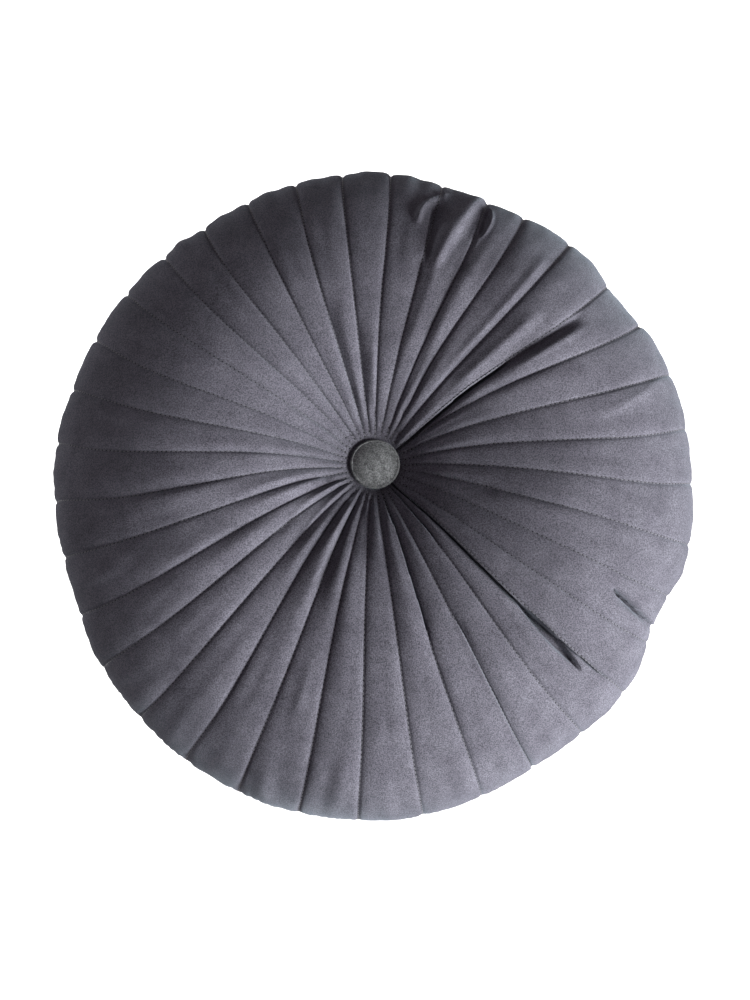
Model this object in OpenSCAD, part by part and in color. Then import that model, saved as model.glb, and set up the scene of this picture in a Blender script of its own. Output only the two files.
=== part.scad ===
// Round pleated floor cushion, button-tufted on both faces.
// Everything is turned about +Z. The cushion rests on the plane z = 0.
// Layers from outside to inside: velvet panels, liner bag, fibre fill,
// and a tufting twine that draws the two covered buttons together.

/* [Cushion] */
// Diameter over the rim seam
cushion_d = 500; // [460:1:560]
// Height of the rim seam above the floor
rim_h = 60; // [54:1:62]
// Height of the crown's highest ring
crest_h = 140; // [134:1:150]
// Radius at which the crown is highest
crest_r = 135; // [125:1:140]
// Radius of the arc that falls from the crest to the button
dish_arc = 170; // [160:1:200]
// Radius inside which the underside curves up to its button
base_r = 82; // [78:1:90]
// Radius of the arc that rises from the floor to the lower button
base_arc = 78; // [74:1:80]

/* [Velvet panels] */
// Thickness of the velvet with its pile
velvet_t = 1.6; // [1.2:0.1:2]
// Width of the seam allowance pressed back at the rim
hem_w = 9; // [6:1:12]
// Radius of the gathered eye at the middle of each panel
eye_r = 7; // [6.5:0.5:9]
// Radius of the flat seat that the button draws down
seat_r = 20; // [19.5:0.5:22]

/* [Stitching] */
// Number of stitched pleat lines on each face
pleats = 36; // [24:1:40]
// Angle of the first pleat line
first_pleat = 7; // [0:1:9]
// Diameter of the sewing thread
thread_d = 0.8; // [0.6:0.1:0.8]
// Diameter of the stronger gathering thread
gather_d = 1; // [0.8:0.1:1.2]
// Radius of the drawn gathering ring
gather_r = 10; // [9.5:0.5:14]

/* [Liner and fill] */
// Clear space between velvet and liner
liner_gap = 0.8; // [0.7:0.1:1.2]
// Thickness of the liner cloth
liner_t = 0.6; // [0.4:0.1:0.8]
// Radius of the twine channel through the fill
channel_r = 5.5; // [5.5:0.5:6.5]

/* [Covered buttons] */
// Diameter over the velvet cover
button_d = 38; // [37:0.5:38.5]
// Height of the button's straight edge
button_edge = 4; // [3.8:0.1:4.5]
// Rise of the button's dome above its edge
button_dome = 5; // [4:0.1:6]
// Thickness of the velvet drawn over the button
cover_t = 1; // [0.8:0.1:1]
// Thickness of the pressed metal shell
shell_t = 0.6; // [0.5:0.1:0.7]
// Gap between the resting button and the panel's seat
seat_gap = 0.3; // [0.3:0.1:0.5]

/* [Shanks and twine] */
// Diameter of the shank wire
wire_d = 1.2; // [1:0.1:1.2]
// Radius of the shank's eye, to the middle of the wire
shank_r = 3; // [2.9:0.1:3.2]
// Depth of the eye's centre under the panel's seat
shank_drop = 4; // [3.5:0.1:5]
// Diameter of the tufting twine
twine_d = 1.2; // [1:0.1:1.2]
// Radius of the twine's loop through each shank
twine_r = 2.2; // [2.1:0.1:2.3]
// Height of the knot above the lower loop
knot_h = 8; // [6:1:12]

/* [Hidden] */
$fn = 96;

// Colours
velvet_colour = [0.30, 0.30, 0.34];
button_colour = [0.36, 0.36, 0.38];
thread_colour = [0.16, 0.16, 0.19];
liner_colour = [0.88, 0.87, 0.83];
fibre_colour = [0.95, 0.95, 0.93];
steel_colour = [0.72, 0.73, 0.75];
twine_colour = [0.80, 0.78, 0.72];

// Size of a cutting shape that is longer than anything it cuts
far = 600;
// Clearance between pieces of one button
fit_gap = 0.1;
// Facets around a thread or a wire
round_fn = 48;

// The rim is one arc from the floor up to the seam, carried on above it
rim_arc = rim_h;
rim_r = cushion_d / 2;
rim_cr = rim_r - rim_arc;
// The shoulder arc touches the crest's level and the rim arc
rise = crest_h - rim_h;
run = rim_cr - crest_r;
shoulder_arc = (run * run + rise * rise - rim_arc * rim_arc) / (2 * (rise - rim_arc));
shoulder_cz = crest_h - shoulder_arc;
shoulder_angle = atan2(rim_h - shoulder_cz, run);
dish_cz = crest_h - dish_arc;
base_cz = base_arc;

// Heights of the two button seats, where the sloping arcs reach seat_r
top_seat = dish_cz + sqrt(pow(dish_arc, 2) - pow(crest_r - seat_r, 2));
bottom_seat = base_cz - sqrt(pow(base_arc, 2) - pow(base_r - seat_r, 2));
// A seat's square runs this far under the slope, so the arc always cuts it
seat_lap = 4;

// Depths of the layers under the velvet's outer face
slot_depth = thread_d + 0.1;
slot_w = thread_d + 0.4;
thread_depth = slot_depth / 2;
pleat_start = seat_r + 4;
thread_start = pleat_start + 1;
// The pleat lines stop this far above and below the rim seam
rim_stop = 2;
// Swelling of the ball that joins two arcs of one thread
joint_swell = 0.02;
hem_depth = 2 * velvet_t;
liner_depth = hem_depth + liner_gap;
fill_depth = liner_depth + liner_t + 0.3;
liner_thread_d = 0.5;
seam_groove = thread_d / 2 + 0.15;

// Button: a dome arc over a straight edge, then velvet, shell and tucked velvet inwards
button_r = button_d / 2;
dome_arc = (pow(button_r, 2) + pow(button_dome, 2)) / (2 * button_dome);
dome_cz = button_edge + button_dome - dome_arc;
shell_g = cover_t + fit_gap;
shell_r = button_r - shell_g - shell_t;
tuck_r = shell_r - fit_gap - cover_t;
shell_corner = dome_cz + sqrt(pow(dome_arc - shell_g - shell_t, 2) - pow(shell_r, 2));
tuck_h = shell_corner - 0.4;

// Half section above the rim seam, g inside the velvet's outer face
module crown_section(g) {
    tip = [rim_cr + far * cos(shoulder_angle), rim_h + far * sin(shoulder_angle)];
    intersection() {
        translate([crest_r, dish_cz]) circle(r = dish_arc - g);
        translate([0, rim_h]) square([crest_r, far]);
    }
    intersection() {
        translate([crest_r, shoulder_cz]) circle(r = shoulder_arc - g);
        polygon([[crest_r, rim_h], [rim_cr, rim_h], tip, [crest_r, rim_h + far]]);
    }
    intersection() {
        translate([rim_cr, rim_h]) circle(r = rim_arc - g);
        polygon([[rim_cr, rim_h], [rim_cr + far, rim_h], tip]);
    }
    translate([0, rim_h]) square([seat_r + seat_lap, top_seat - rim_h - g]);
}

// Half section below the rim seam, g inside the velvet's outer face
module base_section(g) {
    intersection() {
        translate([rim_cr, rim_h]) circle(r = rim_arc - g);
        translate([rim_cr, 0]) square([far, rim_h]);
    }
    translate([base_r, g]) square([rim_cr - base_r, rim_h - g]);
    intersection() {
        translate([base_r, base_cz]) circle(r = base_arc - g);
        square([base_r, rim_h]);
    }
    translate([0, bottom_seat + g]) square([seat_r + seat_lap, rim_h - bottom_seat - g]);
}

// Turns a half section, leaving a round hole of radius hole up the middle
module turned(hole) {
    rotate_extrude()
        difference() {
            children();
            translate([-1, -1]) square([hole + 1, far]);
        }
}

module thread_ring(ring_r, z, d) {
    translate([0, 0, z])
        rotate_extrude()
            translate([ring_r, 0]) circle(d = d, $fn = round_fn);
}

// Round bar bent in the XZ plane, from angle a to angle b about (x, z)
module arc_bar(x, z, bend_r, a, b, d) {
    translate([x, 0, z])
        rotate([90, 0, 0])
            rotate_extrude(angle = b - a, start = a)
                translate([bend_r, 0]) circle(d = d, $fn = round_fn);
}

module around_pleats() {
    for (i = [0 : pleats - 1])
        rotate([0, 0, first_pleat + i * 360 / pleats]) children();
}

// Slots that the stitch lines lie in
module pleat_slots() {
    around_pleats()
        translate([pleat_start, -slot_w / 2, -1]) cube([far, slot_w, crest_h + 2]);
}

// The seam thread's round groove at the rim
module rim_groove() {
    translate([rim_r - thread_d / 2, rim_h]) circle(r = seam_groove, $fn = round_fn);
}

module top_panel() {
    color(velvet_colour)
        difference() {
            union() {
                difference() {
                    turned(eye_r) crown_section(0);
                    pleat_slots();
                }
                turned(eye_r) crown_section(slot_depth);
            }
            turned(0) difference() {
                crown_section(velvet_t);
                translate([0, rim_h]) difference() {
                    square([rim_r, hem_w]);
                    translate([0, -rim_h]) crown_section(hem_depth);
                }
            }
            turned(0) rim_groove();
        }
}

module bottom_panel() {
    color(velvet_colour)
        difference() {
            union() {
                difference() {
                    turned(eye_r) base_section(0);
                    pleat_slots();
                }
                turned(eye_r) base_section(slot_depth);
            }
            turned(0) difference() {
                base_section(velvet_t);
                translate([0, rim_h - hem_w]) difference() {
                    square([rim_r, hem_w]);
                    translate([0, hem_w - rim_h]) base_section(hem_depth);
                }
            }
            turned(0) rim_groove();
        }
}

module rim_seam_thread() {
    color(thread_colour) thread_ring(rim_r - thread_d / 2, rim_h, thread_d);
}

// Each line follows the dish arc, the shoulder arc and the rim arc
module top_pleat_stitching() {
    g = thread_depth;
    start_angle = 180 - acos((crest_r - thread_start) / (dish_arc - g));
    end_angle = asin(rim_stop / rim_arc);
    bend = rim_arc - g;
    color(thread_colour)
        around_pleats() {
            arc_bar(crest_r, dish_cz, dish_arc - g, 90, start_angle, thread_d);
            arc_bar(crest_r, shoulder_cz, shoulder_arc - g, shoulder_angle, 90, thread_d);
            translate([rim_cr + bend * cos(shoulder_angle), 0, rim_h + bend * sin(shoulder_angle)])
                sphere(d = thread_d + joint_swell, $fn = round_fn);
            arc_bar(rim_cr, rim_h, bend, end_angle, shoulder_angle, thread_d);
        }
}

// Each line follows the base arc, the flat underside and the rim arc
module bottom_pleat_stitching() {
    g = thread_depth;
    start_angle = 180 + acos((base_r - thread_start) / (base_arc - g));
    end_angle = 360 - asin(rim_stop / rim_arc);
    color(thread_colour)
        around_pleats() {
            arc_bar(base_r, base_cz, base_arc - g, start_angle, 270, thread_d);
            translate([base_r, 0, g])
                rotate([0, 90, 0])
                    cylinder(h = rim_cr - base_r, d = thread_d, $fn = round_fn);
            arc_bar(rim_cr, rim_h, rim_arc - g, 270, end_angle, thread_d);
        }
}

// Running thread on the wrong side that draws the pleats into the eye
module top_gather_thread() {
    color(twine_colour)
        thread_ring(gather_r, top_seat - velvet_t - gather_d / 2 - fit_gap, gather_d);
}

module bottom_gather_thread() {
    color(twine_colour)
        thread_ring(gather_r, bottom_seat + velvet_t + gather_d / 2 + fit_gap, gather_d);
}

module liner_top() {
    color(liner_colour)
        turned(eye_r) difference() {
            crown_section(liner_depth);
            crown_section(liner_depth + liner_t);
        }
}

module liner_bottom() {
    color(liner_colour)
        turned(eye_r) difference() {
            base_section(liner_depth);
            base_section(liner_depth + liner_t);
        }
}

module liner_seam_thread() {
    color(twine_colour)
        thread_ring(rim_r - hem_depth - liner_gap / 2, rim_h, liner_thread_d);
}

module fibre_fill() {
    color(fibre_colour)
        turned(channel_r) {
            crown_section(fill_depth);
            base_section(fill_depth);
        }
}

// Half section of a button's outer form, g inside its velvet.
// Its lowest face is at z = 0.
module button_section(g) {
    intersection() {
        translate([0, dome_cz]) circle(r = dome_arc - g);
        translate([0, g]) square([button_r - g, far]);
    }
}

// Velvet drawn over the shell, under its edge and up inside it
module button_cover() {
    color(button_colour)
        rotate_extrude()
            difference() {
                button_section(0);
                difference() {
                    button_section(cover_t);
                    translate([tuck_r, 0]) square([cover_t, tuck_h]);
                }
                translate([-1, -1]) square([tuck_r + 1, cover_t + 2]);
            }
}

// Pressed metal cap, open below
module button_shell() {
    color(steel_colour)
        rotate_extrude()
            difference() {
                button_section(shell_g);
                button_section(shell_g + shell_t);
                square([shell_r, shell_g + shell_t]);
            }
}

// Pressed plate held inside the tucked velvet, with two holes for the wire
module button_back() {
    plate_r = tuck_r - fit_gap;
    hole_d = wire_d + 0.3;
    color(steel_colour)
        translate([0, 0, 0.2])
            difference() {
                cylinder(h = 1, r = plate_r);
                for (side = [-1, 1])
                    translate([side * shank_r, 0, -1])
                        cylinder(h = 3, d = hole_d, $fn = round_fn);
            }
}

// Wire bent into an eye, its ends turned out on the back plate
module button_shank() {
    foot_z = 1.2 + wire_d / 2 + fit_gap;
    foot_l = 6;
    eye_z = -shank_drop - seat_gap;
    color(steel_colour) {
        arc_bar(0, eye_z, shank_r, 180, 360, wire_d);
        for (side = [-1, 1]) {
            translate([side * shank_r, 0, eye_z])
                cylinder(h = foot_z - eye_z, d = wire_d, $fn = round_fn);
            translate([side * shank_r, 0, foot_z])
                rotate([0, side * 90, 0])
                    cylinder(h = foot_l, d = wire_d, $fn = round_fn);
            translate([side * shank_r, 0, foot_z])
                sphere(d = wire_d, $fn = round_fn);
        }
    }
}

module on_top() {
    translate([0, 0, top_seat + seat_gap]) children();
}

module underneath() {
    translate([0, 0, bottom_seat - seat_gap]) mirror([0, 0, 1]) children();
}

module top_button_shell() { on_top() button_shell(); }
module top_button_cover() { on_top() button_cover(); }
module top_button_back() { on_top() button_back(); }
module top_button_shank() { on_top() button_shank(); }
module bottom_button_shell() { underneath() button_shell(); }
module bottom_button_cover() { underneath() button_cover(); }
module bottom_button_back() { underneath() button_back(); }
module bottom_button_shank() { underneath() button_shank(); }

// Doubled twine looped through both shank eyes and knotted near the lower one
module tufting_twine() {
    top_z = top_seat - shank_drop - shank_r;
    bottom_z = bottom_seat + shank_drop + shank_r;
    knot_turns = 3;
    color(twine_colour)
        rotate([0, 0, 90]) {
            arc_bar(0, top_z, twine_r, 0, 180, twine_d);
            arc_bar(0, bottom_z, twine_r, 180, 360, twine_d);
            for (side = [-1, 1])
                translate([side * twine_r, 0, bottom_z])
                    cylinder(h = top_z - bottom_z, d = twine_d, $fn = round_fn);
            for (turn = [0 : knot_turns - 1])
                translate([twine_r, 0, 0])
                    thread_ring(twine_d * 0.8, bottom_z + knot_h + turn * twine_d * 0.9, twine_d);
        }
}

top_panel();
bottom_panel();
rim_seam_thread();
top_pleat_stitching();
bottom_pleat_stitching();
top_gather_thread();
bottom_gather_thread();
liner_top();
liner_bottom();
liner_seam_thread();
fibre_fill();
top_button_shell();
top_button_cover();
top_button_back();
top_button_shank();
bottom_button_shell();
bottom_button_cover();
bottom_button_back();
bottom_button_shank();
tufting_twine();
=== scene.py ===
"""Round pleated velvet floor cushion with a covered button on each face.

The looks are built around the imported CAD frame. Metres, +Z up, angles about +Z from +X.
A panel is one sheet of velvet from its eye, under the button, to the seam around the rim.
Its 36 stitched seams part it into gores, and its rows and columns follow them.
"""

import math

import bpy
import numpy as np
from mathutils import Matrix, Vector

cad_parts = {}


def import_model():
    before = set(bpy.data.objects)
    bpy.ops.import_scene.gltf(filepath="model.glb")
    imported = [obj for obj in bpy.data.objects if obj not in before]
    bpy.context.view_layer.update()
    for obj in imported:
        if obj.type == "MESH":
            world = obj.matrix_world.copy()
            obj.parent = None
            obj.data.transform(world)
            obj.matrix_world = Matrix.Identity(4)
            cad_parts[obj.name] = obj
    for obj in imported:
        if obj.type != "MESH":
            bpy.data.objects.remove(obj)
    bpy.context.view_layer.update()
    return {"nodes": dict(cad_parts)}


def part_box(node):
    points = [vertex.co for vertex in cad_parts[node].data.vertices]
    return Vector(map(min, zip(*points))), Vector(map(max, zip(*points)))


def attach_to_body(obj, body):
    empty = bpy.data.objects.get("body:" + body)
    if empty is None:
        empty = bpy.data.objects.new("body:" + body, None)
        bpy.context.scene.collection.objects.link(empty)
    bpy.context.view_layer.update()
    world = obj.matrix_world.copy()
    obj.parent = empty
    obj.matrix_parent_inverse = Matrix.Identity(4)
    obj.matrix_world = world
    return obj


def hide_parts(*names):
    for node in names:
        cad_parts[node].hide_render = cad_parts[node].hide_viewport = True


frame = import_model()

MM = 0.001
TAU = 2 * math.pi

# ---------------------------------------------------------------- sizes, from the frame
SEAT_GAP = 0.3 * MM
RIM_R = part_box("top_panel")[1].x
RIM_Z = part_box("top_panel")[0].z
CREST_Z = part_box("top_panel")[1].z
TOP_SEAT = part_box("top_button_cover")[0].z - SEAT_GAP
BOTTOM_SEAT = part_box("bottom_button_cover")[1].z + SEAT_GAP
BUTTON_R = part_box("top_button_cover")[1].x
BUTTON_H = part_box("top_button_cover")[1].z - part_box("top_button_cover")[0].z

# the arcs of the two panels, as in the CAD
CREST_R = 135 * MM
DISH_ARC = 170 * MM
BASE_R = 82 * MM
BASE_ARC = 78 * MM
SEAT_R = 20 * MM
EYE_R = 7 * MM

# layers of a covered button, as in the CAD
BUTTON_EDGE = 4 * MM
COVER_T = 1 * MM
TUCK_R = 16.2 * MM
TUCK_H = 2.3 * MM
# gathers of the cover over the button's edge
GATHER_H = 0.16 * MM
BUTTON_COLUMNS = 168

# ---------------------------------------------------------------- sewing
PLEATS = 36
FIRST_PLEAT = math.radians(7)
PITCH = TAU / PLEATS
# the filling lies a little longer than wide, and more of it towards -Y than behind the button
STRETCH = (0.99, 1.012)
SAG = (-1.5 * MM, -13 * MM)
# so the seams lean sideways: degrees times 1, share and share squared of the way to the rim,
# for the seams towards X and for those towards Y
LEAN_X, LEAN_Y = (1.5, -8.8, 11.9), (3.0, -7.7, 3.8)
# folds pull the seams near them: angle, reach and amount in degrees, and the radius in mm
# by which the pull has faded out
PULLS = (
    (20, 14, 2.5, 190),
    (41, 6, -2.0, 90),
    (60, 7, -1.8, 90),
    (331, 10, -3.2, 245),
    (28, 12, 1.5, 400),
)
# the crumpled rim draws the outer ends of the seams to itself: angle, reach, amount in degrees
GATHERS = ((341, 11, -2.5), (12, 20, -1.2))
# flattened stretches of the outline: angle and reach in degrees, depth in mm
FLATS = (
    (17, 10, -3.6),
    (36, 6, 10.5),
    (68, 12, 9.5),
    (126, 12, 5.2),
    (172, 10, -3.0),
    (198, 10, 5.0),
    (244, 24, -3.0),
    (303, 17, 6.0),
    (335, 7.5, 15.6),
)
# how far in from the rim these flats and the notches of the seams reach
FLAT_FADE = 45 * MM
NOTCH_FADE = 38 * MM
# where the gores are puffed up: direction and reach in radians, and how much more than half
PUFFED_FAR = (0.96, 0.44, 0.7)
PUFFED_NEAR = (3.84, 0.8, 0.5)

# relief of the velvet: full height of a gore, the groove of a seam, waves of the fill
GORE_H = 1.9 * MM
SEAM_DIP, SEAM_DIP_W = 0.75 * MM, 1.1 * MM
BROAD_WAVE, FINE_WAVE = 1.6 * MM, 0.36 * MM
# and at the rim: puckers, the notch at each pleat seam, the groove of the rim seam
PUCKER_H, PUCKER_PITCH = 2.2 * MM, 10 * MM
NOTCH_H, NOTCH_W = 2.6 * MM, 2.4 * MM
RIM_GROOVE = 3.0 * MM
# the seams of the underside stay this far off the floor, for their stitches
STITCH_ROOM = 0.5 * MM

# layers, counted inwards from the velvet's face
VELVET_T = 1.2 * MM
LINER_GAP, LINER_T, FILL_GAP = 0.5 * MM, 0.6 * MM, 1.8 * MM
HEM_W, HEM_T = 9 * MM, 3 * MM
# how deep inside the rim seam the liner's edge, its own seam and the fill lie
LINER_EDGE, LINER_SEAM, FILL_EDGE = 12 * MM, 11.6 * MM, 15 * MM

STITCH_PITCH = 3.6 * MM
STITCH_LENGTH = 2.9 * MM
THREAD_R = 0.3 * MM
# radius of the near-black beads at the needle holes, which paint the shade of the dimples there
SHADE_BEAD_R = 0.68 * MM
RIM_STITCH_PITCH = 3.2 * MM
LINER_STITCH_PITCH = 3.7 * MM

# the cloth simulation: its length in frames, the push of the fill, and the most it may move
SETTLE_FRAMES = 20
SETTLE_PRESSURE = 120
SETTLE_CAP = 2.5 * MM
# share by which the velvet is larger than the gores it starts from
SETTLE_EASE = 0.003

# grid of a panel
GORE_COLUMNS = 28
COLUMNS = GORE_COLUMNS * PLEATS
CROWDING = 0.45
ROWS = 83
# the wrong side has every eighth row, the liner and the fill every sixth column
INNER_STEP = 8
LINER_COLUMNS = COLUMNS // 6


# ---------------------------------------------------------------- small helpers
def step(x, a, b):
    """0 before a, 1 past b, smooth between."""
    t = np.clip((x - a) / (b - a), 0, 1)
    return t * t * (3 - 2 * t)


def bell(x, width):
    return np.exp(-((x / width) ** 2))


def unit(v):
    return v / np.linalg.norm(v, axis=-1, keepdims=True)


def turn_between(a, b):
    """Signed angle from b to a."""
    return (a - b + math.pi) % TAU - math.pi


def ripple(theta, s, seed, around, along, terms=28):
    """Smooth random field of about unit size: whole waves around, wavelengths in metres along."""
    rng = np.random.default_rng(seed)
    out = 0
    for _ in range(terms):
        waves = rng.integers(around[0], around[1] + 1)
        drift = TAU / rng.uniform(*along) * rng.choice((-1, 1))
        out = out + np.cos(waves * theta + drift * s + rng.uniform(0, TAU))
    return out * math.sqrt(2 / terms)


def arc(cx, cz, radius, a, b, n=160):
    t = np.radians(np.linspace(a, b, n))
    return np.c_[cx + radius * np.cos(t), cz + radius * np.sin(t)]


# ---------------------------------------------------------------- half sections of the panels
def top_profile():
    rise, run = CREST_Z - RIM_Z, RIM_R - RIM_Z - CREST_R
    shoulder = (run**2 + rise**2 - RIM_Z**2) / (2 * (rise - RIM_Z))
    bend = math.degrees(math.atan2(RIM_Z - (CREST_Z - shoulder), run))
    start = 180 - math.degrees(math.acos((CREST_R - SEAT_R) / DISH_ARC))
    return np.vstack(
        [
            [[EYE_R, TOP_SEAT]],
            arc(CREST_R, CREST_Z - DISH_ARC, DISH_ARC, start, 90),
            arc(CREST_R, CREST_Z - shoulder, shoulder, 90, bend)[1:],
            arc(RIM_R - RIM_Z, RIM_Z, RIM_Z, bend, 0)[1:],
        ]
    )


def bottom_profile():
    start = 180 + math.degrees(math.acos((BASE_R - SEAT_R) / BASE_ARC))
    return np.vstack(
        [
            [[EYE_R, BOTTOM_SEAT]],
            arc(BASE_R, BASE_ARC, BASE_ARC, start, 270),
            arc(RIM_R - RIM_Z, RIM_Z, RIM_Z, 270, 360),
        ]
    )


class Profile:
    """Radius, height and outward normal of a panel's half section by distance from its eye."""

    def __init__(self, points, up):
        steps = np.r_[0, np.cumsum(np.linalg.norm(np.diff(points, axis=0), axis=1))]
        self.length = steps[-1]
        self.s = np.linspace(0, self.length, 1500)
        self.r, self.z = (self.rounded(np.interp(self.s, steps, points[:, i])) for i in (0, 1))
        dr, dz = np.gradient(self.r), np.gradient(self.z)
        size = np.hypot(dr, dz) * (1 if up else -1)
        self.nr, self.nz = -dz / size, dr / size

    def rounded(self, a, reach=3 * MM):
        """a averaged over a short stretch, so that corners are soft, with its ends kept."""
        half = int(round(reach / self.length * len(a)))
        kernel = np.hanning(2 * half + 3)[1:-1]
        kernel /= kernel.sum()
        before = 2 * a[0] - a[half:0:-1]
        after = 2 * a[-1] - a[-2 : -half - 2 : -1]
        return np.convolve(np.r_[before, a, after], kernel, "valid")

    def at(self, s):
        return [np.interp(s, self.s, a) for a in (self.r, self.z, self.nr, self.nz)]


# ---------------------------------------------------------------- folds of the top panel
class Ridge:
    """A ridge that runs beside a seam, or a groove where its height is negative.

    It starts and ends at (degrees past the seam, radius in mm), and its middle bows sideways by
    `bow` degrees. Its flanks are `before` and `past` mm wide on the clockwise and the
    counterclockwise side, and its ends fade over `soft` mm to either side.
    """

    def __init__(self, seam, first, last, height, before, past, soft=12, bow=0):
        self.seam, self.first, self.last, self.bow = seam, first, last, bow
        sizes = (height, before, past, soft)
        self.height, self.before, self.past, self.soft = (v * MM for v in sizes)

    def shape(self, panel):
        """Height and sideways slip of the velvet at each point."""
        (turn_a, start), (turn_b, end) = self.first, self.last
        start, end = start * MM, end * MM
        share = np.clip((panel.r - start) / (end - start), 0, 1)
        turn = turn_a + (turn_b - turn_a) * share + 4 * self.bow * share * (1 - share)
        line = panel.seams[:, [self.seam]] + np.radians(turn)
        d = turn_between(panel.theta, line) * panel.r
        reach = np.where(d < 0, self.before, self.past)
        reach = reach * (0.45 + 0.55 * step(panel.r, 20 * MM, 90 * MM))
        here = step(panel.r, start - self.soft, start + self.soft)
        here = here * (1 - step(panel.r, end - self.soft, end + self.soft))
        return self.profile(d, reach, share) * here, self.slip(d) * here

    def profile(self, d, reach, share):
        return self.height * bell(d, reach)

    def slip(self, d):
        return 0 * d


class Crease(Ridge):
    """A sharp step down beside a seam: a lip that hangs over a dip.

    side is +1 where the lip is counterclockwise. The dip is `height` deep, the lip `lip` high,
    and they overlap by about one and a half times `slide`. A steep slot, `slot` mm deeper and
    `width` mm wide, may run under the lip.
    """

    def __init__(
        self, seam, first, last, height, reach, side, lip=1.0, soft=12, slide=1.2, slot=0, width=1.5
    ):
        super().__init__(seam, first, last, height, reach, reach, soft)
        self.side, self.lip, self.slide = side, lip * MM, slide * MM
        self.slot, self.width = slot * MM, width * MM

    def profile(self, d, reach, share):
        d = d * self.side
        dip = -self.height * np.exp(np.minimum(d, 0) / reach)
        off_slot = np.abs(d + 0.5 * self.width) / self.width
        slot = self.slot * (1 - step(off_slot, 0.35, 0.75))
        return np.where(d < 0, dip, self.lip * np.exp(-np.maximum(d, 0) / reach)) - slot

    def slip(self, d):
        fall = np.exp(-np.abs(d) / (1.5 * MM)) * self.slide * self.side
        return np.where(d * self.side < 0, 0.6 * fall, -fall)


class Pocket(Ridge):
    """A hollow with steep walls, widest in its middle and pointed at its ends."""

    def profile(self, d, reach, share):
        half = reach * np.sin(math.pi * share) ** 0.8 + 0.1 * MM
        return self.height * (1 - step(np.abs(d), 0.55 * half, 1.15 * half))


TOP_RIDGES = (
    # the deep valley beside seam 3, between two full gores
    Crease(3, (-0.6, 24), (-0.4, 118), 7.0, 6.0, 1, 1.4, slot=5, width=2.6),
    Ridge(3, (-0.9, 125), (-1.0, 188), -4.2, 4.5, 2.0, 12),
    Ridge(3, (3.0, 24), (3.6, 80), 1.2, 2.8, 3.4, 15),
    Ridge(3, (3.6, 85), (5.2, 160), 3.2, 4.0, 5.5, 15),
    Ridge(3, (-4.0, 132), (-3.7, 188), 2.8, 3.4, 4.5, 18),
    Ridge(4, (2.4, 60), (1.7, 205), 2.4, 2.6, 5.0, 20),
    # the two dog-ears at the rim beside seams 6 and 7
    Ridge(6, (6.4, 90), (6.3, 160), 2.0, 5.0, 5.0, 20),
    Ridge(6, (6.5, 160), (1.2, 238), 6.0, 4.2, 14.0, 12),
    Ridge(6, (-1.3, 194), (-0.8, 229), 3.2, 1.3, 1.3, 4, bow=-1.2),
    Ridge(6, (-1.4, 198), (-0.6, 226), -3.2, 2.0, 1.6, 5),
    Ridge(7, (-1.0, 160), (0.5, 212), -4.6, 6.0, 1.8, 8),
    Ridge(7, (3.0, 192), (-1.6, 227), 4.8, 1.6, 2.6, 4, bow=1.6),
    # the crease of seam 31, which forks before the rim
    Crease(31, (-0.5, 22), (-0.6, 168), 5.0, 4.0, 1, 1.2, slide=1.2, slot=7, width=1.8),
    Crease(31, (-0.6, 168), (0.0, 225), 3.0, 3.0, 1, 1.0, 8, slide=1.0, slot=4, width=1.2),
    Pocket(31, (-0.9, 144), (-2.4, 210), -11.0, 3.1, 4.2, 4),
    Ridge(31, (5.0, 165), (3.0, 205), 1.3, 6.0, 5.0, 15),
    # the sharp groove of seam 29
    Crease(29, (0.0, 132), (0.0, 254), 3.4, 2.6, -1, 1.4, 8, slot=3.5, width=1.3),
    # valleys that curve into the button
    Crease(28, (-5.0, 22), (-0.7, 56), 3.0, 3.0, -1, 0.8, 8),
    Crease(28, (-0.7, 52), (0.0, 125), 2.8, 4.0, -1, 0.8, 15, slot=4, width=1.4),
    Ridge(28, (-4.5, 40), (-4.0, 90), 1.5, 4.0, 4.0),
    Crease(30, (-3.2, 24), (-0.3, 70), 2.8, 3.0, -1, 0.4, 10, slot=3, width=1.4),
    Ridge(24, (0.6, 26), (0.6, 100), -2.2, 3.0, 4.5, 15),
    Ridge(24, (-3.5, 26), (-3.5, 110), 1.6, 5.0, 3.0, 20),
    Ridge(21, (-5.0, 28), (-1.0, 72), 2.0, 4.0, 1.6, 10),
    Ridge(22, (-3.0, 30), (-0.8, 72), 1.6, 3.0, 1.6, 10),
    Ridge(10, (-0.8, 38), (-0.6, 110), -2.0, 4.0, 1.6, 15),
    Ridge(9, (-0.8, 38), (-0.6, 105), -1.5, 4.0, 1.6, 15),
    # the crumple at the rim between seams 32 and 33
    Ridge(32, (3.6, 195), (2.4, 238), 2.6, 5.0, 2.5, 8),
    Crease(32, (6.6, 198), (3.2, 244), 6.0, 5.0, 1, 2.0, 5, slide=2.4, slot=8, width=3.4),
    # a ripple across gore 0
    Ridge(1, (-5.0, 174), (-0.6, 228), 1.7, 4.0, 3.0, 15),
)


# ---------------------------------------------------------------- a pleated panel
def fuller(angle, r):
    """How full the gores are: two sides of the cushion are puffed up."""
    (far_way, far_reach, far_more), (near_way, near_reach, near_more) = PUFFED_FAR, PUFFED_NEAR
    far = far_more * bell(turn_between(angle, far_way), far_reach) * step(r, 30 * MM, 90 * MM)
    near = near_more * bell(turn_between(angle, near_way), near_reach)
    return 0.5 + far + near


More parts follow.
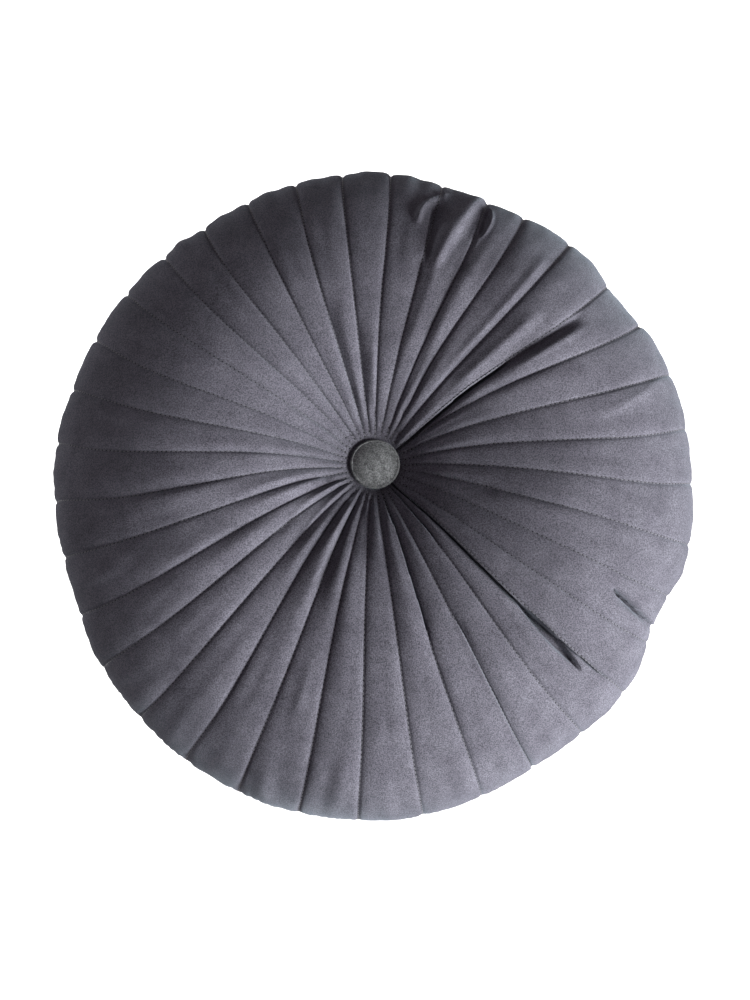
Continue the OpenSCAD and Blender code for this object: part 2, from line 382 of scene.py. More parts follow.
class Panel:
    """One face of the cushion. Its fields are grids: rows from eye to rim, columns around."""

    def __init__(self, profile, up, seed, jitter, ridges=()):
        self.profile, self.up, self.seed = profile, up, seed
        self.jitter, self.ridges = jitter, ridges
        rng = np.random.default_rng(seed)
        self.fullness = rng.uniform(0.75, 1.25, PLEATS)
        self.lean = rng.uniform(-0.5, 0.5, PLEATS)
        self.split = rng.uniform(-1, 1, PLEATS)
        self.s = self.row_places()[:, None]
        u = np.arange(GORE_COLUMNS) / GORE_COLUMNS
        self.t = np.tile(u - CROWDING * np.sin(TAU * u) / TAU, PLEATS)[None, :]
        self.k = np.repeat(np.arange(PLEATS), GORE_COLUMNS)[None, :]
        self.r = profile.at(self.s)[0]
        self.width = self.r * PITCH
        self.seams = self.seam_angles()
        before, after = self.seams[:, self.k[0]], self.seams[:, self.k[0] + 1]
        self.theta = before * (1 - self.t) + after * self.t
        self.to_rim = profile.length - self.s

    def row_places(self):
        """Distances of the rows from the eye, closest at the rim and under the button."""
        s = np.linspace(0, self.profile.length, 600)
        middle = step(s, 22 * MM, 50 * MM) * step(self.profile.length - s, 12 * MM, 60 * MM)
        gap = 2.0 + 2.4 * middle
        count = np.r_[0, np.cumsum(1 / gap[1:])]
        return np.interp(np.linspace(0, count[-1], ROWS), count, s)

    def seam_angles(self):
        """Angle of each seam at each row, and of the first seam again after a whole turn."""
        base = FIRST_PLEAT + np.arange(PLEATS) * PITCH + self.jitter
        powers = (self.r / RIM_R) ** np.arange(3)
        along_x, along_y = ((powers * lean).sum(1, keepdims=True) for lean in (LEAN_X, LEAN_Y))
        seams = base + np.radians(along_x * np.cos(base) + along_y * np.sin(base))
        for angle, reach, amount, end in PULLS:
            near = bell(turn_between(base, math.radians(angle)), math.radians(reach))
            seams = seams + math.radians(amount) * near * (1 - step(self.r, 30 * MM, end * MM))
        for angle, reach, amount in GATHERS:
            near = bell(turn_between(base, math.radians(angle)), math.radians(reach))
            seams = seams + math.radians(amount) * near * step(self.r, 140 * MM, RIM_R)
        wave = np.sin(2.3 * np.arange(PLEATS) + 26 * self.s) * math.radians(0.25)
        wave = wave * step(self.s, 0.03, 0.1) * step(1 - self.s / self.profile.length, 0, 0.3)
        seams = seams + wave
        return np.c_[seams, seams[:, :1] + TAU]

    def gores(self):
        """Gores that swell between sunken seams, steepest near the button."""
        theta, s, k, t = self.theta, self.s, self.k, self.t
        far_out = step(self.r, 70 * MM, 200 * MM)
        uneven = 1 + 0.55 * ripple(theta, s, self.seed + 1, (6, 20), (0.07, 0.25))
        own = self.fullness[k] * fuller(theta, self.r) * uneven
        lean = self.lean[k] + 0.4 * ripple(theta, s, self.seed + 2, (5, 16), (0.08, 0.3))
        across = np.clip(t + np.clip(lean, -0.8, 0.8) * t * (1 - t), 0, 1)
        arch = 1 - np.abs(2 * across - 1) ** (1.8 + 0.8 * far_out)
        near_eye = step(s, 12.5 * MM, 27 * MM) * (0.6 + 0.4 * step(s, 15 * MM, 50 * MM))
        high = GORE_H * near_eye * (1 - 0.4 * far_out)
        h = high * np.clip(own, 0.15, 1.9) * arch - 0.5 * high
        gather = self.split[k] * np.cos(2 * TAU * t) * arch
        h += 0.12 * high * gather * (1 - step(self.r, 60 * MM, 150 * MM))
        return h

    def seam_dips(self):
        """The narrow groove that each line of stitches pulls down."""
        edge = np.minimum(self.t, 1 - self.t) * self.width
        grow = step(self.s, 12.5 * MM, 24 * MM)
        return -SEAM_DIP * bell(edge, SEAM_DIP_W) * grow

    def soft_waves(self):
        """Broad unevenness of the fill, and soft ripples inside the gores near the rim."""
        theta, s = self.theta, self.s
        broad = BROAD_WAVE * ripple(theta, s, self.seed + 3, (1, 6), (0.15, 0.6))
        inside = np.sin(math.pi * self.t) ** 2
        fine = FINE_WAVE * ripple(theta, s, self.seed + 4, (36, 80), (0.05, 0.3)) * inside
        return broad * step(s, 30 * MM, 90 * MM) + fine * step(self.r, 110 * MM, 190 * MM)

    def rim(self):
        """What both panels share at the rim: the seam's groove, its puckers and the notches."""
        theta, close = self.theta, np.exp(-self.to_rim / (6 * MM))
        wander = ripple(theta, 0 * theta, 5, (4, 30), (1, 2))
        bumps = np.abs(np.sin(math.pi * (theta * RIM_R / PUCKER_PITCH + 0.45 * wander)))
        side = 0.5 + 0.5 * bell(turn_between(theta, math.radians(205)), math.radians(62))
        puckers = PUCKER_H * side * (bumps - 0.64) * np.exp(-self.to_rim / (9 * MM))
        edge = np.minimum(self.t, 1 - self.t) * self.width
        notched = 0.25 + 0.75 * bell(turn_between(theta, math.radians(122)), math.radians(38))
        notches = -NOTCH_H * notched * bell(edge, NOTCH_W) * np.exp(-self.to_rim / NOTCH_FADE)
        flats = 0
        for angle, reach, depth in FLATS:
            near = bell(turn_between(theta, math.radians(angle)), math.radians(reach))
            flats = flats - depth * MM * near
        flats = flats * np.exp(-self.to_rim / FLAT_FADE)
        return puckers + notches + flats - RIM_GROOVE * close

    def points(self):
        """The velvet's outer face, rows by columns. Notes where it is creased."""
        away = step(self.to_rim, 0, 22 * MM)
        h = (self.gores() + self.seam_dips() + self.soft_waves()) * away
        if not self.up:
            flat = step(self.r, BASE_R - 12 * MM, BASE_R) * step(self.to_rim, 60 * MM, 92 * MM)
            h = h * (1 - flat) + (0.25 * h - 1.6 * MM) * flat
        near = step(self.to_rim, 0, 6 * MM)
        # no ridge rises under the button
        clear = step(self.r, BUTTON_R, BUTTON_R + 5 * MM)
        theta, self.creased = self.theta, 0 * self.theta
        for ridge in self.ridges:
            lift, slip = ridge.shape(self)
            lift = np.where(lift > 0, lift * clear, lift)
            h = h + lift * near
            theta = theta + slip * near / self.r
            self.creased = self.creased + np.abs(slip) + 0.1 * np.abs(lift)
        return self.rested(stretched(self.place(theta, self.s, h + self.rim())))

    def rested(self, points):
        """points kept above the floor, with room for the stitches in their grooves."""
        if self.up:
            return points
        edge = np.minimum(self.t, 1 - self.t) * self.width
        out = points.copy()
        out[..., 2] = np.maximum(out[..., 2], STITCH_ROOM * bell(edge, 1.2 * MM))
        return out

    def place(self, theta, s, h):
        """Points at height h over the profile."""
        r, z, nr, nz = self.profile.at(s)
        r = r + nr * h
        return np.stack(np.broadcast_arrays(r * np.cos(theta), r * np.sin(theta), z + nz * h), -1)


def stretched(points):
    """points as the filling spreads them, which leaves the middle where it is."""
    share = step(np.hypot(points[..., 0], points[..., 1]), 40 * MM, RIM_R)
    out = points.copy()
    for axis in (0, 1):
        out[..., axis] *= 1 + (STRETCH[axis] - 1) * share
        out[..., axis] += SAG[axis] * share
    return out


# ---------------------------------------------------------------- meshes
def ring_faces(rows, columns, closed=False, flip=False):
    """Quads between rings of points. A closed set joins its last ring to its first."""
    j, i = np.meshgrid(np.arange(rows - (0 if closed else 1)), np.arange(columns), indexing="ij")
    after, beside = (j + 1) % rows, (i + 1) % columns
    quads = np.stack(
        [j * columns + i, j * columns + beside, after * columns + beside, after * columns + i], -1
    ).reshape(-1, 4)
    return quads[:, ::-1] if flip else quads


def new_mesh(name, points, faces):
    mesh = bpy.data.meshes.new(name)
    mesh.from_pydata(np.asarray(points).reshape(-1, 3).tolist(), [], [list(f) for f in faces])
    mesh.polygons.foreach_set("use_smooth", np.ones(len(mesh.polygons), bool))
    mesh.update()
    return mesh


def new_object(name, mesh, *materials):
    obj = bpy.data.objects.new(name, mesh)
    bpy.context.scene.collection.objects.link(obj)
    for material in materials:
        mesh.materials.append(material)
    return obj


def attach(obj, body, slot, *nodes):
    """Makes a piece ride on its body in place of CAD nodes."""
    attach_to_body(obj, body)
    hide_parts(*nodes)
    return obj


def finer(a):
    """A field with a new row and column filled in between each two."""
    ahead, behind, far = (np.roll(a, n, 1) for n in (-1, 1, -2))
    wide = np.empty((a.shape[0], 2 * a.shape[1], 3))
    wide[:, ::2], wide[:, 1::2] = a, (9 * (a + ahead) - behind - far) / 16
    out = np.empty((2 * len(wide) - 1, *wide.shape[1:]))
    out[::2], out[1::2] = wide, (wide[:-1] + wide[1:]) / 2
    return out


def normals_of(points):
    """Unit normals of a panel's face: into the top panel, and out of the bottom one."""
    across = np.roll(points, -1, 1) - np.roll(points, 1, 1)
    along = np.gradient(points, axis=0)
    n = np.cross(across, along)
    return n / np.maximum(np.linalg.norm(n, axis=-1, keepdims=True), 1e-12)


# ---------------------------------------------------------------- materials
def nodes_of(name):
    mat = bpy.data.materials.new(name)
    mat.use_nodes = True
    tree = mat.node_tree
    shader = next(n for n in tree.nodes if n.type == "BSDF_PRINCIPLED")
    return mat, tree, shader


def noise(tree, scale, detail=3.0, roughness=0.55):
    place = tree.nodes.get("place") or tree.nodes.new("ShaderNodeTexCoord")
    place.name = "place"
    tex = tree.nodes.new("ShaderNodeTexNoise")
    tex.inputs["Scale"].default_value = scale
    tex.inputs["Detail"].default_value = detail
    tex.inputs["Roughness"].default_value = roughness
    tree.links.new(place.outputs["Object"], tex.inputs["Vector"])
    return tex.outputs["Fac"]


def ramp(tree, value, stops):
    node = tree.nodes.new("ShaderNodeValToRGB")
    elements = node.color_ramp.elements
    while len(elements) < len(stops):
        elements.new(0.5)
    for element, (place, colour) in zip(elements, stops):
        element.position = place
        element.color = (*colour, 1)
    tree.links.new(value, node.inputs["Fac"])
    return node.outputs["Color"]


def greys(tree, value, low, high, spread=0.2):
    """A grey factor that follows a noise."""
    return ramp(tree, value, [(0.5 - spread, (low,) * 3), (0.5 + spread, (high,) * 3)])


def times(tree, a, b):
    node = tree.nodes.new("ShaderNodeMix")
    node.data_type = "RGBA"
    node.blend_type = "MULTIPLY"
    node.inputs["Factor"].default_value = 1
    tree.links.new(a, node.inputs["A"])
    tree.links.new(b, node.inputs["B"])
    return node.outputs["Result"]


def bump(tree, shader, value, strength, distance):
    node = tree.nodes.new("ShaderNodeBump")
    node.inputs["Strength"].default_value = strength
    node.inputs["Distance"].default_value = distance
    tree.links.new(value, node.inputs["Height"])
    tree.links.new(node.outputs["Normal"], shader.inputs["Normal"])


def velvet(name, dark, light, grain, patch, sheen):
    """Short pile: fine speckle, uneven dye and soft nap marks under a cool sheen."""
    mat, tree, shader = nodes_of(name)
    colour = ramp(tree, noise(tree, patch, 4), [(0.3, dark), (0.7, light)])
    colour = times(tree, colour, greys(tree, noise(tree, grain, 3, 0.75), 0.36, 1.0, 0.1))
    colour = times(tree, colour, greys(tree, noise(tree, 24, 3), 0.84, 1.0, 0.15))
    tree.links.new(colour, shader.inputs["Base Color"])
    shader.inputs["Roughness"].default_value = 0.9
    shader.inputs["Specular IOR Level"].default_value = 0.1
    shader.inputs["Sheen Weight"].default_value = sheen
    shader.inputs["Sheen Roughness"].default_value = 0.45
    shader.inputs["Sheen Tint"].default_value = (0.72, 0.9, 1.0, 1)
    bump(tree, shader, noise(tree, grain, 3, 0.75), 0.6, 0.5 * MM)
    return mat


def plain(name, colour, roughness, metallic=0.0, scale=300, depth=0.15):
    """A procedural finish for threads, wires and the inner cloth."""
    mat, tree, shader = nodes_of(name)
    shade = [tuple(c * f for c in colour) for f in (0.7, 1.0)]
    stops = [(0.3, shade[0]), (0.7, shade[1])]
    tree.links.new(ramp(tree, noise(tree, scale, 3), stops), shader.inputs["Base Color"])
    shader.inputs["Roughness"].default_value = roughness
    shader.inputs["Metallic"].default_value = metallic
    bump(tree, shader, noise(tree, scale * 2, 2), depth, 0.2 * MM)
    return mat


VELVET = velvet("charcoal_velvet", (0.115, 0.108, 0.13), (0.155, 0.148, 0.174), 1100, 60, 0.15)
BUTTON_VELVET = velvet("button_velvet", (0.13, 0.132, 0.13), (0.28, 0.285, 0.285), 900, 240, 0.1)
THREAD = plain("sewing_thread", (0.11, 0.107, 0.12), 0.5, scale=2500)
# near-black finish of the beads at the needle holes: painted shade, where the pile dips into each
# hole
PAINTED_HOLE_SHADE = plain("painted_needle_hole_shade", (0.014, 0.013, 0.016), 0.95)
STRONG_THREAD = plain("strong_thread", (0.6, 0.58, 0.52), 0.6, scale=2000)
LINER = plain("liner_cloth", (0.72, 0.7, 0.64), 0.85, scale=900)
FIBRE = plain("fibre", (0.85, 0.85, 0.83), 0.95, scale=160, depth=0.6)
STEEL = plain("pressed_steel", (0.55, 0.56, 0.58), 0.35, 1.0, scale=500)
WIRE = plain("wire", (0.5, 0.5, 0.52), 0.3, 1.0, scale=900)
TWINE = plain("twine", (0.62, 0.58, 0.48), 0.8, scale=1500, depth=0.5)

CAD_FINISHES = {
    "gather_thread": STRONG_THREAD,
    "button_shell": STEEL,
    "button_back": STEEL,
    "button_shank": WIRE,
    "twine": TWINE,
}
for name, node in frame["nodes"].items():
    for ending, material in CAD_FINISHES.items():
        if name.endswith(ending):
            node.data.materials.clear()
            node.data.materials.append(material)


# ---------------------------------------------------------------- panels, liner and fill
def lowest_near(h, rows, columns):
    """The least of h within a few rows and columns of each point."""
    padded = np.pad(h, ((rows, rows), (0, 0)), mode="edge")
    out = np.min([padded[j : j + len(h)] for j in range(2 * rows + 1)], axis=0)
    return np.min([np.roll(out, i, 1) for i in range(-columns, columns + 1)], axis=0)


def settled(panel):
    """The panel's face once the fill has swelled its gores: a cloth simulation, seams held.

    The cloth has every second row and column, and its move is filled in between them.
    """
    points = panel.points()
    coarse = points[::2, ::2]
    rows, columns = coarse.shape[:2]
    mesh = new_mesh("settling", coarse, ring_faces(rows, columns, flip=panel.up))
    cloth_piece = new_object("settling", mesh)
    free = np.minimum(step(panel.r, 22 * MM, 30 * MM), step(panel.to_rim, 1 * MM, 10 * MM))
    free = (free * np.exp(-panel.creased / (0.2 * MM)))[::2, ::2]
    held = free < 0.1
    held[:, :: GORE_COLUMNS // 2] = True
    cloth_piece.vertex_groups.new(name="held").add(np.flatnonzero(held).tolist(), 1, "REPLACE")
    cloth = cloth_piece.modifiers.new("cloth", "CLOTH")
    cloth.settings.quality = 6
    cloth.settings.mass = 0.25
    cloth.settings.tension_stiffness = cloth.settings.compression_stiffness = 12
    cloth.settings.shear_stiffness = 6
    cloth.settings.bending_stiffness = 2
    cloth.settings.shrink_min = -SETTLE_EASE
    cloth.settings.use_pressure = True
    cloth.settings.uniform_pressure_force = SETTLE_PRESSURE
    cloth.settings.vertex_group_mass = "held"
    cloth.settings.effector_weights.gravity = 0
    cloth.point_cache.frame_start, cloth.point_cache.frame_end = 1, SETTLE_FRAMES
    scene = bpy.context.scene
    for frame_number in range(1, SETTLE_FRAMES + 1):
        scene.frame_set(frame_number)
    final = cloth_piece.evaluated_get(bpy.context.evaluated_depsgraph_get()).to_mesh()
    after = np.empty(rows * columns * 3)
    final.vertices.foreach_get("co", after)
    move = after.reshape(coarse.shape) - coarse
    bpy.data.objects.remove(cloth_piece)
    scene.frame_set(1)
    size = np.linalg.norm(move, axis=-1, keepdims=True)
    move *= np.minimum(1, SETTLE_CAP / np.maximum(size, 1e-9)) * free[..., None]
    return panel.rested(points + finer(move))


def closed_panel(panel, name, points):
    """A panel with a wrong side, a turned-in hem at the rim and a cut edge at the eye."""
    base = stretched(panel.place(panel.theta, panel.s, 0 * panel.theta))
    way = stretched(panel.place(panel.theta, panel.s, 0 * panel.theta + MM)) - base
    way /= np.linalg.norm(way, axis=-1, keepdims=True)
    relief = ((points - base) * way).sum(-1)
    inner_h = lowest_near(relief, INNER_STEP, 6) - VELVET_T
    lift = 1 if panel.up else -1
    rim = points[-1]
    inward = -rim * [1, 1, 0] / np.linalg.norm(rim[:, :2], axis=1)[:, None]
    hem = [
        rim + inward * HEM_W * share + [0, 0, lift * HEM_T * thick]
        for share, thick in ((0.5, 0.25), (1, 0.5), (1, 1))
    ]
    picked = np.arange(ROWS - INNER_STEP // 2, -1, -INNER_STEP)
    picked = np.r_[picked, 0] if picked[-1] else picked
    inner = (base + way * inner_h[..., None])[picked]
    rings = np.concatenate([points, np.array(hem), inner])
    faces = ring_faces(len(rings), COLUMNS, closed=True, flip=panel.up)
    panel.inner, panel.inner_way = inner, way[picked]
    return new_object(name, new_mesh(name, rings, faces), VELVET)


def stepped_in(panel, depth, columns):
    """Rings that lie under a panel's wrong side, from the rim to the eye, with fewer columns."""
    every = COLUMNS // columns
    return (panel.inner - panel.inner_way * depth)[:, ::every]


def seam_ring(depth, columns, height=0.0):
    """A ring this deep inside the rim seam, whose outline it follows."""
    rim = TOP.face[-1][:: COLUMNS // columns]
    return (rim - unit(rim * [1, 1, 0]) * depth + [0, 0, height])[None]


def liner_piece(panel, name, node):
    columns, lift = LINER_COLUMNS, (0.4 if panel.up else -0.4) * MM
    outside = [seam_ring(LINER_EDGE, columns, lift), stepped_in(panel, LINER_GAP, columns)]
    inside = [
        stepped_in(panel, LINER_GAP + LINER_T, columns)[::-1],
        seam_ring(LINER_EDGE + LINER_T, columns, 2 * lift),
    ]
    rings = np.concatenate(outside + inside)
    mesh = new_mesh(name, rings, ring_faces(len(rings), columns, closed=True, flip=not panel.up))
    attach(new_object(name, mesh, LINER), "cushion", "liner_cloth", node)


def fill_piece():
    columns = LINER_COLUMNS
    top, bottom = (stepped_in(panel, FILL_GAP, columns) for panel in (TOP, BOTTOM))
    rings = np.concatenate([seam_ring(FILL_EDGE, columns), top, bottom[::-1]])
    mesh = new_mesh("fibre_mass", rings, ring_faces(len(rings), columns, closed=True, flip=False))
    piece = attach(new_object("fibre_mass", mesh, FIBRE), "cushion", "fibre", "fibre_fill")


rng = np.random.default_rng(11)
seam_jitter = np.radians(rng.uniform(-0.4, 0.4, PLEATS))
# two seams are sewn a little out of their even places
seam_jitter[4:6] += math.radians(1.4)
TOP = Panel(Profile(top_profile(), True), True, 11, seam_jitter, TOP_RIDGES)
BOTTOM = Panel(Profile(bottom_profile(), False), False, 57, seam_jitter)
TOP.face, BOTTOM.face = settled(TOP), settled(BOTTOM)
BOTTOM.face[-1] = TOP.face[-1]
for panel, side in ((TOP, "top"), (BOTTOM, "bottom")):
    piece = closed_panel(panel, f"velvet_{side}", panel.face)
    attach(piece, "cushion", "velvet", f"{side}_panel")
    liner_piece(panel, f"liner_bag_{side}", f"liner_{side}")
fill_piece()


# ---------------------------------------------------------------- stitches
def tube_template(length, radius, sides, stops):
    """A short bar along x. stops are (place, thickness, height) with places from -1 to 1."""
    angle = np.arange(sides) * TAU / sides
    y, z = radius * np.cos(angle), radius * np.sin(angle)
    rings = [
        np.c_[0 * angle + x * length / 2, thick * y, thick * z + height]
        for x, thick, height in stops
    ]
    faces = [list(f) for f in ring_faces(len(stops), sides)]
    faces.append(list(range(sides)))
    faces.append(list(range(len(stops) * sides - 1, (len(stops) - 1) * sides - 1, -1)))
    return np.concatenate(rings), faces


def shade_bead_template(radius, depth, sides=6):
    """A flat bead at a needle hole, near-black in its material: painted shade of the dimple where
    the pile is pinched in.
    """
    angle = np.arange(sides) * TAU / sides
    ring = np.c_[radius * np.cos(angle), radius * np.sin(angle), 0 * angle]
    tips = [[0, 0, depth], [0, 0, -depth]]
    faces = []
    for i in range(sides):
        faces.append([i, (i + 1) % sides, sides])
        faces.append([(i + 1) % sides, i, sides + 1])
    return np.vstack([ring, tips]), faces


def scattered(templates, centres, along, up):
    """Copies of each template at each centre, its x along and its z up, as parts of one mesh."""
    side = np.cross(up, along)
    axes = np.stack([along, side, up], 1)
    points, faces, kinds, start = [], [], [], 0
    for kind, (shape, shape_faces) in enumerate(templates):
        placed = np.einsum("vi,nij->nvj", shape, axes) + centres[:, None]
        for n in range(len(centres)):
            faces += [[v + start + n * len(shape) for v in f] for f in shape_faces]
        kinds += [kind] * (len(centres) * len(shape_faces))
        points.append(placed.reshape(-1, 3))
        start += len(centres) * len(shape)
    return np.concatenate(points), faces, kinds


def seam_stitches(panel, name, node):
    """Dashes of thread along every seam, each with a near-black bead at its end: painted shade of
    the needle hole.
    """
    rng = np.random.default_rng(panel.seed + 9)
    normals = normals_of(panel.face) * (-1 if panel.up else 1)
    centres, along, up = [], [], []
    for k in range(PLEATS):
        line, ups = panel.face[:, k * GORE_COLUMNS], normals[:, k * GORE_COLUMNS]
        walk = np.r_[0, np.cumsum(np.linalg.norm(np.diff(line, axis=0), axis=1))]
        first = np.interp(SEAT_R + 1 * MM, np.hypot(line[:, 0], line[:, 1]), walk)
        places = np.arange(first + rng.uniform(0, STITCH_PITCH), walk[-1] - 2 * MM, STITCH_PITCH)
        places += rng.normal(0, 0.12 * MM, len(places))
        at, ahead = (
            np.stack([np.interp(places + d, walk, line[:, i]) for i in range(3)], -1)
            for d in (0, 0.5 * MM)
        )
        centres.append(at)
        along.append(unit(ahead - at))
        up.append(unit(np.stack([np.interp(places, walk, ups[:, i]) for i in range(3)], -1)))
    centres, along, up = (np.concatenate(a) for a in (centres, along, up))
    side = unit(np.cross(up, along))
    slant = rng.normal(math.radians(6), math.radians(4), (len(centres), 1))
    along = unit(along * np.cos(slant) + side * np.sin(slant))
    up = unit(np.cross(along, side))
    sunk, proud = -0.35 * MM, 0.08 * MM
    stops = ((-1, 0.5, sunk), (-0.55, 1, proud), (0.55, 1, proud), (1, 0.5, sunk))
    dash = tube_template(STITCH_LENGTH, THREAD_R, 5, stops)
    # a near-black bead at each needle hole: painted shade of its dimple
    shade_bead, shade_bead_faces = shade_bead_template(SHADE_BEAD_R, 0.12 * MM)
    shade_bead = shade_bead + [STITCH_PITCH / 2, 0, 0.15 * MM]
    points, faces, kinds = scattered([dash, (shade_bead, shade_bead_faces)], centres, along, up)
    mesh = new_mesh(name, points, faces)
    # the second material is the painted shade of the needle holes
    piece = new_object(name, mesh, THREAD, PAINTED_HOLE_SHADE)
    mesh.polygons.foreach_set("material_index", np.array(kinds, np.int32))
    attach(piece, "cushion", "sewing_thread", node)


def around(ring, pitch):
    """Points at an even pitch along a closed ring."""
    line = np.vstack([ring, ring[:1]])
    walk = np.r_[0, np.cumsum(np.linalg.norm(np.diff(line, axis=0), axis=1))]
    count = int(walk[-1] / pitch)
    places = np.arange(count) * walk[-1] / count
    return np.stack([np.interp(places, walk, line[:, i]) for i in range(3)], -1)


def rim_stitches():
    """Small stitches that bridge the groove where the two panels meet."""
    centres = around(TOP.face[-1], RIM_STITCH_PITCH)
    out = unit(centres * [1, 1, 0])
    along = unit(np.cross(out, [0, 0, 1]) * 0.5 + [0, 0, 1])
    stops = ((-1, 0.6, -0.3 * MM), (-0.5, 1, 0), (0.5, 1, 0), (1, 0.6, -0.3 * MM))
    dash = tube_template(2.2 * MM, THREAD_R, 6, stops)
    points, faces, _ = scattered([dash], centres, along, out)
    piece = new_object("rim_stitching", new_mesh("rim_stitching", points, faces), THREAD)
    attach(piece, "cushion", "sewing_thread", "rim_seam_thread")


def liner_stitches():
    """The liner bag's own seam."""
    centres = around(seam_ring(LINER_SEAM, COLUMNS)[0], LINER_STITCH_PITCH)
    out = unit(centres * [1, 1, 0])
    along = unit(np.cross([0, 0, 1], out))
    stops = ((-1, 0.6, 0), (-0.5, 1, 0), (0.5, 1, 0), (1, 0.6, 0))
    dash = tube_template(2.6 * MM, 0.25 * MM, 6, stops)
    points, faces, _ = scattered([dash], centres, along, out)
    piece = new_object("liner_stitching", new_mesh("liner_stitching", points, faces), STRONG_THREAD)
    attach(piece, "cushion", "strong_thread", "liner_seam_thread")


seam_stitches(TOP, "top_stitching", "top_pleat_stitching")
seam_stitches(BOTTOM, "bottom_stitching", "bottom_pleat_stitching")
rim_stitches()
liner_stitches()


# ---------------------------------------------------------------- covered buttons
def button_section():
    """Radius and height of the cover's section, from the outer pole round to the inner one."""
    rise = BUTTON_H - BUTTON_EDGE
    dome = (BUTTON_R**2 + rise**2) / (2 * rise)
    centre = BUTTON_H - dome
    corner, tuck_out = 2.4 * MM, TUCK_R + COVER_T
    edge_angle = math.degrees(math.acos(BUTTON_R / dome))
    inner_angle = math.degrees(math.acos((BUTTON_R - COVER_T) / (dome - COVER_T)))
    outer = arc(0, centre, dome, 89.5, edge_angle + 2.6, 26)
    shoulder = arc(BUTTON_R - corner, outer[-1][1] - corner * 0.82, corner, 74, 0, 9)
    foot = arc(BUTTON_R - COVER_T, COVER_T, COVER_T, 0, -90, 7)
    inside = arc(0, centre, dome - COVER_T, inner_angle, 89.5, 18)
    tuck = [
        (tuck_out - 0.3 * MM, 0),
        (TUCK_R, 0.3 * MM),
        (TUCK_R, TUCK_H),
        (tuck_out, TUCK_H),
        (tuck_out, COVER_T),
        (BUTTON_R - COVER_T, COVER_T + 0.02 * MM),
    ]
    return np.vstack([outer, shoulder, foot, tuck, inside])


def button_piece(name, body, node, seat, up):
    """A velvet cover, gathered over the edge of its shell. Returns the piece."""
    section = button_section()
    columns = BUTTON_COLUMNS
    angle = np.arange(columns) * TAU / columns
    r, z = section[:, :1], section[:, 1:]
    at_edge = step(r, BUTTON_R - 3 * MM, BUTTON_R) * step(z, 6 * MM, 2 * MM)
    gathers = GATHER_H * np.cos(42 * angle + np.sin(5 * angle)) * at_edge
    sag = 0.12 * MM * np.cos(3 * angle + 1) * step(r, 0, BUTTON_R)
    r = r + gathers - GATHER_H * at_edge
    z = z + sag * step(z, 1 * MM, 3 * MM) * 0.5
    rings = np.stack(np.broadcast_arrays(r * np.cos(angle), r * np.sin(angle), z), -1)
    count = len(section)
    poles = np.array([[0, 0, BUTTON_H], [0, 0, BUTTON_H - COVER_T]])
    faces = [list(f) for f in ring_faces(count, columns)]
    for i in range(columns):
        beside, last = (i + 1) % columns, (count - 1) * columns
        faces.append([beside, i, count * columns])
        faces.append([last + i, last + beside, count * columns + 1])
    points = np.vstack([rings.reshape(-1, 3), poles])
    if up:
        faces = [f[::-1] for f in faces]
        points[:, 2] = seat + SEAT_GAP + points[:, 2]
    else:
        points[:, 2] = seat - SEAT_GAP - points[:, 2]
    piece = new_object(name, new_mesh(name, points, faces), BUTTON_VELVET)
    return attach(piece, body, "button_velvet", node)


top_button = button_piece("covered_button_top", "top_button", "top_button_cover", TOP_SEAT, True)
button_piece("covered_button_bottom", "bottom_button", "bottom_button_cover", BOTTOM_SEAT, False)


# ---------------------------------------------------------------- stage, light and camera
def floor_material():
    """Pale and a little bright of itself, so that it stays pale beyond the lights."""
    mat, tree, shader = nodes_of("pale_floor")
    shade = ramp(tree, noise(tree, 40, 2), [(0.3, (0.9, 0.9, 0.9)), (0.7, (0.92, 0.92, 0.92))])
    tree.links.new(shade, shader.inputs["Base Color"])
    shader.inputs["Roughness"].default_value = 0.95
    shader.inputs["Emission Color"].default_value = (1, 0.99, 1, 1)
    shader.inputs["Emission Strength"].default_value = 0.55
    return mat


def stage_floor():
    size = 40.0
    corners = [(-size, -size, 0), (size, -size, 0), (size, size, 0), (-size, size, 0)]
    floor = new_object("floor", new_mesh("floor", corners, [(0, 1, 2, 3)]), floor_material())
    floor.location.z = -0.5 * MM
    floor.visible_diffuse = False
    return floor


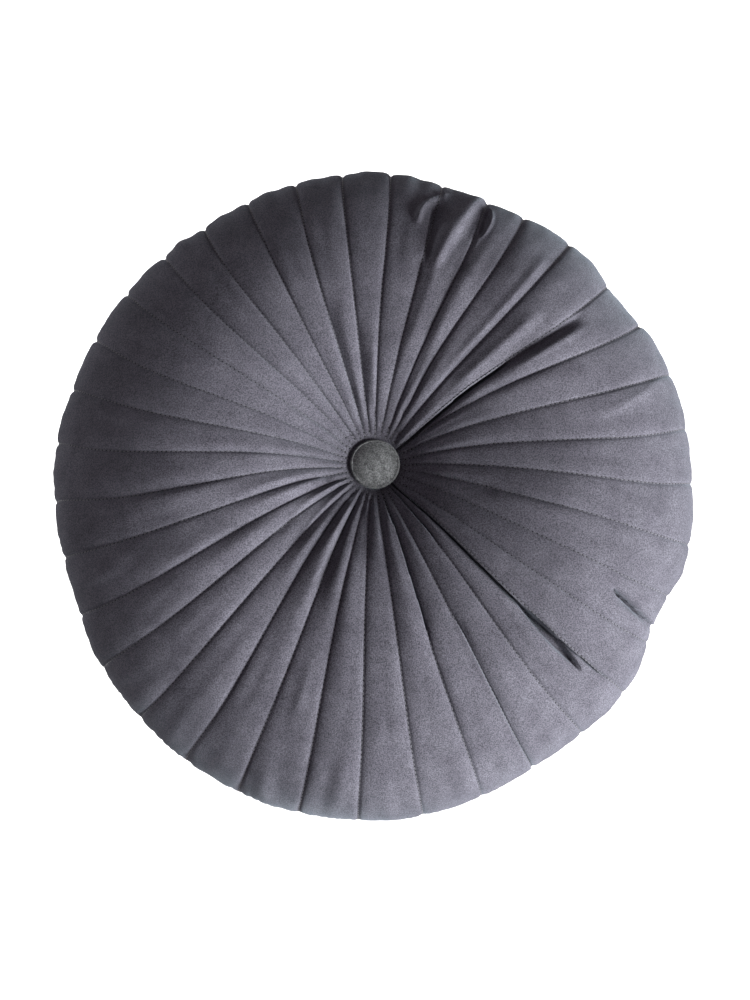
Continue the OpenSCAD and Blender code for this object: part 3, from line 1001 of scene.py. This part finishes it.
def aimed_light(name, turn, height, away, size, power, colour):
    """A round soft light that looks at the cushion from this direction, in degrees."""
    turn, height = math.radians(turn), math.radians(height)
    flat = math.cos(height)
    way = Vector((math.cos(turn) * flat, math.sin(turn) * flat, math.sin(height)))
    data = bpy.data.lights.new(name, "AREA")
    data.shape, data.size, data.energy, data.color = "DISK", size, power, colour
    light = bpy.data.objects.new(name, data)
    bpy.context.scene.collection.objects.link(light)
    light.location = Vector((0, 0, RIM_Z)) + way * away
    light.rotation_euler = way.to_track_quat("Z", "Y").to_euler()
    return light


def only_for(light, obj, include):
    """Makes a light reach obj alone, or everything but obj."""
    group = bpy.data.collections.new(f"{light.name}_{obj.name}")
    group.objects.link(obj)
    light.light_linking.receiver_collection = group
    state = "INCLUDE" if include else "EXCLUDE"
    group.collection_objects[0].light_linking.link_state = state


def casts_no_shadow(obj, light):
    """Keeps obj from throwing a shadow in a light."""
    group = bpy.data.collections.new(f"{light.name}_passes_{obj.name}")
    group.objects.link(obj)
    light.light_linking.blocker_collection = group
    group.collection_objects[0].light_linking.link_state = "EXCLUDE"


def world(colour, strength):
    scene = bpy.context.scene
    scene.world = bpy.data.worlds.new("studio")
    scene.world.use_nodes = True
    back = scene.world.node_tree.nodes["Background"]
    back.inputs["Color"].default_value = (*colour, 1)
    back.inputs["Strength"].default_value = strength
    scene.view_settings.view_transform = "Standard"


def camera(tilt, distance, lens, aim):
    data = bpy.data.cameras.new("camera")
    data.sensor_width = 36
    data.lens = lens
    cam = bpy.data.objects.new("camera", data)
    bpy.context.scene.collection.objects.link(cam)
    back = Vector((0, -math.sin(tilt), math.cos(tilt)))
    cam.location = Vector(aim) + back * distance
    cam.rotation_euler = (tilt, 0, 0)
    bpy.context.scene.camera = cam


floor = stage_floor()
key = aimed_light("key", -31, 20, away=2.4, size=1.4, power=228, colour=(0.95, 0.975, 1.0))
only_for(key, floor, include=False)
casts_no_shadow(top_button, key)
wash = aimed_light("wash", 0, 90, away=2.4, size=4.0, power=200, colour=(1.0, 1.0, 1.0))
fill = aimed_light("fill", 172, 6, away=2.4, size=0.3, power=14, colour=(0.95, 0.98, 1.0))
only_for(fill, floor, include=False)
only_for(wash, floor, include=True)
world((1.0, 0.89, 0.98), 0.2)
camera(tilt=math.radians(8), distance=1.05, lens=48.4, aim=(0, -0.022, RIM_Z))
